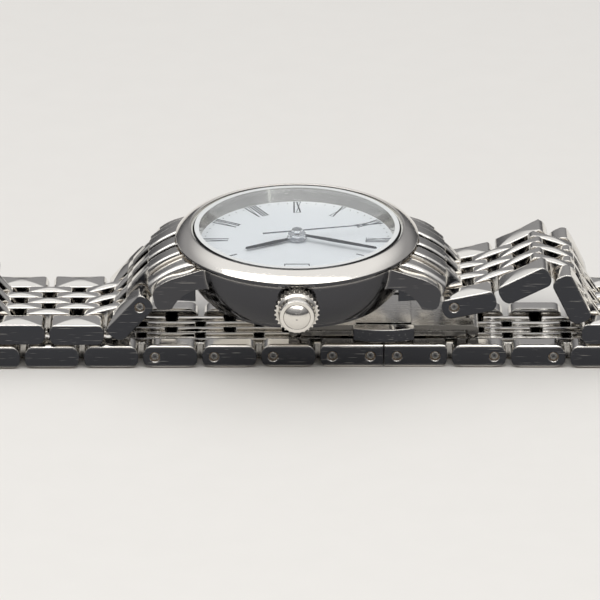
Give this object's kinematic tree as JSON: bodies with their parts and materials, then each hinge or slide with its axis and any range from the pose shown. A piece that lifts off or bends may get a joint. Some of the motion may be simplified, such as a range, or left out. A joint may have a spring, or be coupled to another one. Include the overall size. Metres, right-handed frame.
{
  "type": "automatic watch",
  "caption": "Small round steel dress watch with a roman dial, crown and multi-row link bracelet, lying closed on its folding clasp.",
  "frame": {"origin": "centre of the caseback's raised flat face, on the dial's axis", "axes": "+Z out of the dial, +X towards 12 o'clock and along the bracelet, +Y towards 9 o'clock, away from the crown"},
  "size_m": [0.0819, 0.0283, 0.0138],
  "materials": {
    "polished_steel": "polished",
    "worn_steel": "satin",
    "crystal": "polished",
    "gasket": "matte",
    "crystal_seal": "satin",
    "dial_face": "satin",
    "date_face": "matte",
    "hand": "gloss",
    "holder": "matte",
    "movement_brass": "satin",
    "movement_steel": "satin"
  },
  "bodies": {
    "head": {"mid_case": "polished_steel", "bezel": "polished_steel", "crystal": "crystal", "crystal_gasket": "crystal_seal", "flange_ring": "polished_steel", "dial": "dial_face", "caseback": "polished_steel", "caseback_gasket": "gasket", "movement_ring": "holder", "main_plate": "movement_brass", "train_bridge": "movement_steel", "balance_cock": "movement_steel", "crown_tube": "movement_steel", "spring_bars": "movement_steel", "end_links": "polished_steel"},
    "mainspring_barrel": {"mainspring_barrel": "movement_brass"},
    "center_wheel": {"center_wheel": "movement_brass"},
    "third_wheel": {"third_wheel": "movement_brass"},
    "escape_wheel": {"escape_wheel": "movement_steel"},
    "pallet_fork": {"pallet_fork": "movement_steel"},
    "balance_wheel": {"balance_wheel": "movement_brass"},
    "rotor": {"rotor": "movement_brass"},
    "date_ring": {"date_ring": "date_face"},
    "minute_wheel": {"minute_wheel": "movement_steel"},
    "hour_hand": {"hour_hand": "hand"},
    "minute_hand": {"minute_hand": "hand"},
    "crown": {"crown": "polished_steel"},
    "winding_stem": {"winding_stem": "movement_steel"},
    "second_hand": {"second_hand": "hand", "fourth_wheel": "movement_brass"},
    "link_left_1": {"link_left_1": "polished_steel"},
    "link_left_2": {"link_left_2": "polished_steel"},
    "link_left_3": {"link_left_3": "polished_steel"},
    "link_left_4": {"link_left_4": "polished_steel"},
    "link_left_5": {"link_left_5": "polished_steel"},
    "link_left_6": {"link_left_6": "polished_steel"},
    "link_left_7": {"link_left_7": "polished_steel"},
    "link_left_8": {"link_left_8": "polished_steel"},
    "link_left_9": {"link_left_9": "polished_steel"},
    "link_left_10": {"link_left_10": "polished_steel"},
    "link_left_11": {"link_left_11": "polished_steel"},
    "link_right_1": {"link_right_1": "polished_steel"},
    "link_right_2": {"link_right_2": "polished_steel"},
    "link_right_3": {"link_right_3": "polished_steel"},
    "link_right_4": {"link_right_4": "polished_steel"},
    "link_right_5": {"link_right_5": "polished_steel"},
    "link_right_6": {"link_right_6": "polished_steel"},
    "link_right_7": {"link_right_7": "polished_steel"},
    "link_right_8": {"link_right_8": "polished_steel"},
    "link_right_9": {"link_right_9": "polished_steel"},
    "link_right_10": {"link_right_10": "polished_steel"},
    "clasp_end_left": {"clasp_end_left": "polished_steel"},
    "clasp_end_right": {"clasp_end_right": "polished_steel"},
    "clasp_arm_left": {"clasp_arm_left": "worn_steel"},
    "clasp_arm_right": {"clasp_arm_right": "worn_steel"},
    "clasp_plate": {"clasp_plate": "worn_steel"},
    "push_piece_near": {"push_piece_near": "polished_steel"},
    "push_piece_far": {"push_piece_far": "polished_steel"}
  },
  "joints": [
    {"name": "link_left_1_hinge", "type": "hinge", "parent": "head", "child": "link_left_1", "pos_m": [-0.0164, 0, 0.00121], "axis": [0, 1, 0], "range_deg": [0, 48]},
    {"name": "link_left_2_hinge", "type": "hinge", "parent": "link_left_1", "child": "link_left_2", "pos_m": [-0.01854, 0, -0.00117], "axis": [0, 1, 0], "range_deg": [0, 10]},
    {"name": "link_left_3_hinge", "type": "hinge", "parent": "link_left_2", "child": "link_left_3", "pos_m": [-0.02464, 0, -0.00194], "axis": [0, 1, 0], "range_deg": [0, 8]},
    {"name": "link_left_4_hinge", "type": "hinge", "parent": "link_left_3", "child": "link_left_4", "pos_m": [-0.03084, 0, -0.00194], "axis": [0, 1, 0], "range_deg": [0, 6]},
    {"name": "link_left_5_hinge", "type": "hinge", "parent": "link_left_4", "child": "link_left_5", "pos_m": [-0.03599, 0, 0.00066], "axis": [0, 1, 0], "range_deg": [0, 59]},
    {"name": "link_left_6_hinge", "type": "hinge", "parent": "link_left_5", "child": "link_left_6", "pos_m": [-0.03649, 0, -0.00466], "axis": [0, 1, 0], "range_deg": [0, 62]},
    {"name": "link_left_7_hinge", "type": "hinge", "parent": "link_left_6", "child": "link_left_7", "pos_m": [-0.0303, 0, -0.00484], "axis": [0, 1, 0], "range_deg": [0, 15]},
    {"name": "link_left_8_hinge", "type": "hinge", "parent": "link_left_7", "child": "link_left_8", "pos_m": [-0.0241, 0, -0.00484], "axis": [0, 1, 0], "range_deg": [0, 15]},
    {"name": "link_left_9_hinge", "type": "hinge", "parent": "link_left_8", "child": "link_left_9", "pos_m": [-0.0179, 0, -0.00484], "axis": [0, 1, 0], "range_deg": [0, 15]},
    {"name": "link_left_10_hinge", "type": "hinge", "parent": "link_left_9", "child": "link_left_10", "pos_m": [-0.0117, 0, -0.00484], "axis": [0, 1, 0], "range_deg": [0, 15]},
    {"name": "link_left_11_hinge", "type": "hinge", "parent": "link_left_10", "child": "link_left_11", "pos_m": [-0.0055, 0, -0.00484], "axis": [0, 1, 0], "range_deg": [0, 15]},
    {"name": "clasp_end_left_hinge", "type": "hinge", "parent": "link_left_11", "child": "clasp_end_left", "pos_m": [0.0007, 0, -0.00484], "axis": [0, 1, 0], "range_deg": [0, 15]},
    {"name": "clasp_arm_left_hinge", "type": "hinge", "parent": "clasp_end_left", "child": "clasp_arm_left", "pos_m": [0.0077, 0, -0.00484], "axis": [0, 1, 0], "range_deg": [0, 170]},
    {"name": "clasp_plate_hinge", "type": "hinge", "parent": "clasp_arm_left", "child": "clasp_plate", "pos_m": [-0.0003, 0, -0.00282], "axis": [0, 1, 0], "range_deg": [-170, 0]},
    {"name": "clasp_arm_right_hinge", "type": "hinge", "parent": "clasp_plate", "child": "clasp_arm_right", "pos_m": [0.0185, 0, -0.00282], "axis": [0, -1, 0], "range_deg": [0, 140]},
    {"name": "clasp_end_right_hinge", "type": "hinge", "parent": "clasp_arm_right", "child": "clasp_end_right", "pos_m": [0.0105, 0, -0.00484], "axis": [0, -1, 0], "range_deg": [-140, 0]},
    {"name": "link_right_10_hinge", "type": "hinge", "parent": "clasp_end_right", "child": "link_right_10", "pos_m": [0.0145, 0, -0.00484], "axis": [0, 1, 0], "range_deg": [0, 15]},
    {"name": "link_right_9_hinge", "type": "hinge", "parent": "link_right_10", "child": "link_right_9", "pos_m": [0.0207, 0, -0.00484], "axis": [0, 1, 0], "range_deg": [0, 15]},
    {"name": "link_right_8_hinge", "type": "hinge", "parent": "link_right_9", "child": "link_right_8", "pos_m": [0.0269, 0, -0.00484], "axis": [0, 1, 0], "range_deg": [0, 15]},
    {"name": "link_right_7_hinge", "type": "hinge", "parent": "link_right_8", "child": "link_right_7", "pos_m": [0.0331, 0, -0.00484], "axis": [0, 1, 0], "range_deg": [0, 15]},
    {"name": "link_right_1_hinge", "type": "hinge", "parent": "head", "child": "link_right_1", "pos_m": [0.0164, 0, 0.00121], "axis": [0, -1, 0], "range_deg": [0, 10]},
    {"name": "link_right_2_hinge", "type": "hinge", "parent": "link_right_1", "child": "link_right_2", "pos_m": [0.01953, 0, 0.00188], "axis": [0, -1, 0], "range_deg": [0, 10]},
    {"name": "link_right_3_hinge", "type": "hinge", "parent": "link_right_2", "child": "link_right_3", "pos_m": [0.02518, 0, 0.0044], "axis": [0, -1, 0], "range_deg": [0, 45]},
    {"name": "link_right_4_hinge", "type": "hinge", "parent": "link_right_3", "child": "link_right_4", "pos_m": [0.02944, 0, 0.0006], "axis": [0, -1, 0], "range_deg": [0, 8]},
    {"name": "link_right_5_hinge", "type": "hinge", "parent": "link_right_4", "child": "link_right_5", "pos_m": [0.03423, 0, -0.00194], "axis": [0, -1, 0], "range_deg": [0, 6]},
    {"name": "link_right_6_hinge", "type": "hinge", "parent": "link_right_5", "child": "link_right_6", "pos_m": [0.0389, 0, 0.00184], "axis": [0, -1, 0], "range_deg": [0, 55]},
    {"name": "minute_hand_turn", "type": "hinge", "parent": "head", "child": "minute_hand", "pos_m": [0, 0, 0.006], "axis": [0, 0, -1], "continuous": true},
    {"name": "hour_hand_turn", "type": "hinge", "parent": "head", "child": "hour_hand", "pos_m": [0, 0, 0.00575], "axis": [0, 0, -1], "continuous": true},
    {"name": "minute_wheel_turn", "type": "hinge", "parent": "head", "child": "minute_wheel", "pos_m": [0.0009, -0.00156, 0.0049], "axis": [0, 0, -1], "continuous": true},
    {"name": "second_hand_turn", "type": "hinge", "parent": "head", "child": "second_hand", "pos_m": [0, 0, 0.00624], "axis": [0, 0, -1], "continuous": true},
    {"name": "third_wheel_turn", "type": "hinge", "parent": "head", "child": "third_wheel", "pos_m": [-0.00204, -0.00074, 0.003], "axis": [0, 0, -1], "continuous": true},
    {"name": "center_wheel_turn", "type": "hinge", "parent": "head", "child": "center_wheel", "pos_m": [-0.00293, -0.00318, 0.003], "axis": [0, 0, -1], "continuous": true},
    {"name": "mainspring_barrel_turn", "type": "hinge", "parent": "head", "child": "mainspring_barrel", "pos_m": [-0.00042, -0.00529, 0.003], "axis": [0, 0, -1], "continuous": true},
    {"name": "escape_wheel_turn", "type": "hinge", "parent": "head", "child": "escape_wheel", "pos_m": [0.00098, 0.0017, 0.003], "axis": [0, 0, -1], "continuous": true},
    {"name": "pallet_fork_swing", "type": "hinge", "parent": "head", "child": "pallet_fork", "pos_m": [0.00186, 0.00321, 0.0027], "axis": [0, 0, -1], "range_deg": [-6, 6]},
    {"name": "balance_wheel_swing", "type": "hinge", "parent": "head", "child": "balance_wheel", "pos_m": [0.00147, 0.00538, 0.003], "axis": [0, 0, -1], "range_deg": [-150, 150], "stiffness_Nm_per_rad": 0.000001},
    {"name": "rotor_turn", "type": "hinge", "parent": "head", "child": "rotor", "pos_m": [0, 0, 0.0014], "axis": [0, 0, -1], "continuous": true},
    {"name": "date_ring_turn", "type": "hinge", "parent": "head", "child": "date_ring", "pos_m": [0, 0, 0.0049], "axis": [0, 0, -1], "continuous": true},
    {"name": "winding_stem_slide", "type": "slide", "parent": "head", "child": "winding_stem", "axis": [0, -1, 0], "range_m": [0, 0.0012]},
    {"name": "crown_turn", "type": "hinge", "parent": "winding_stem", "child": "crown", "pos_m": [0, -0.0135, 0.00406], "axis": [0, -1, 0], "continuous": true},
    {"name": "push_piece_near_slide", "type": "slide", "parent": "clasp_plate", "child": "push_piece_near", "axis": [0, 1, 0], "range_m": [0, 0.00045], "stiffness_N_per_m": 500, "springref_m": -0.0005},
    {"name": "push_piece_far_slide", "type": "slide", "parent": "clasp_plate", "child": "push_piece_far", "axis": [0, -1, 0], "range_m": [0, 0.00045], "stiffness_N_per_m": 500, "springref_m": -0.0005}
  ],
  "couplings": [
    {"joint": "hour_hand_turn", "follows": "minute_hand_turn", "ratio": 0.083333},
    {"joint": "minute_wheel_turn", "follows": "minute_hand_turn", "ratio": -0.33333},
    {"joint": "third_wheel_turn", "follows": "second_hand_turn", "ratio": -0.13333},
    {"joint": "center_wheel_turn", "follows": "second_hand_turn", "ratio": 0.016667},
    {"joint": "mainspring_barrel_turn", "follows": "second_hand_turn", "ratio": -0.0030303},
    {"joint": "escape_wheel_turn", "follows": "second_hand_turn", "ratio": -9},
    {"joint": "clasp_plate_hinge", "follows": "clasp_arm_left_hinge", "ratio": -1},
    {"joint": "link_left_6_hinge", "follows": "clasp_arm_left_hinge", "ratio": 0.35},
    {"joint": "clasp_end_right_hinge", "follows": "clasp_arm_right_hinge", "ratio": -1}
  ]
}
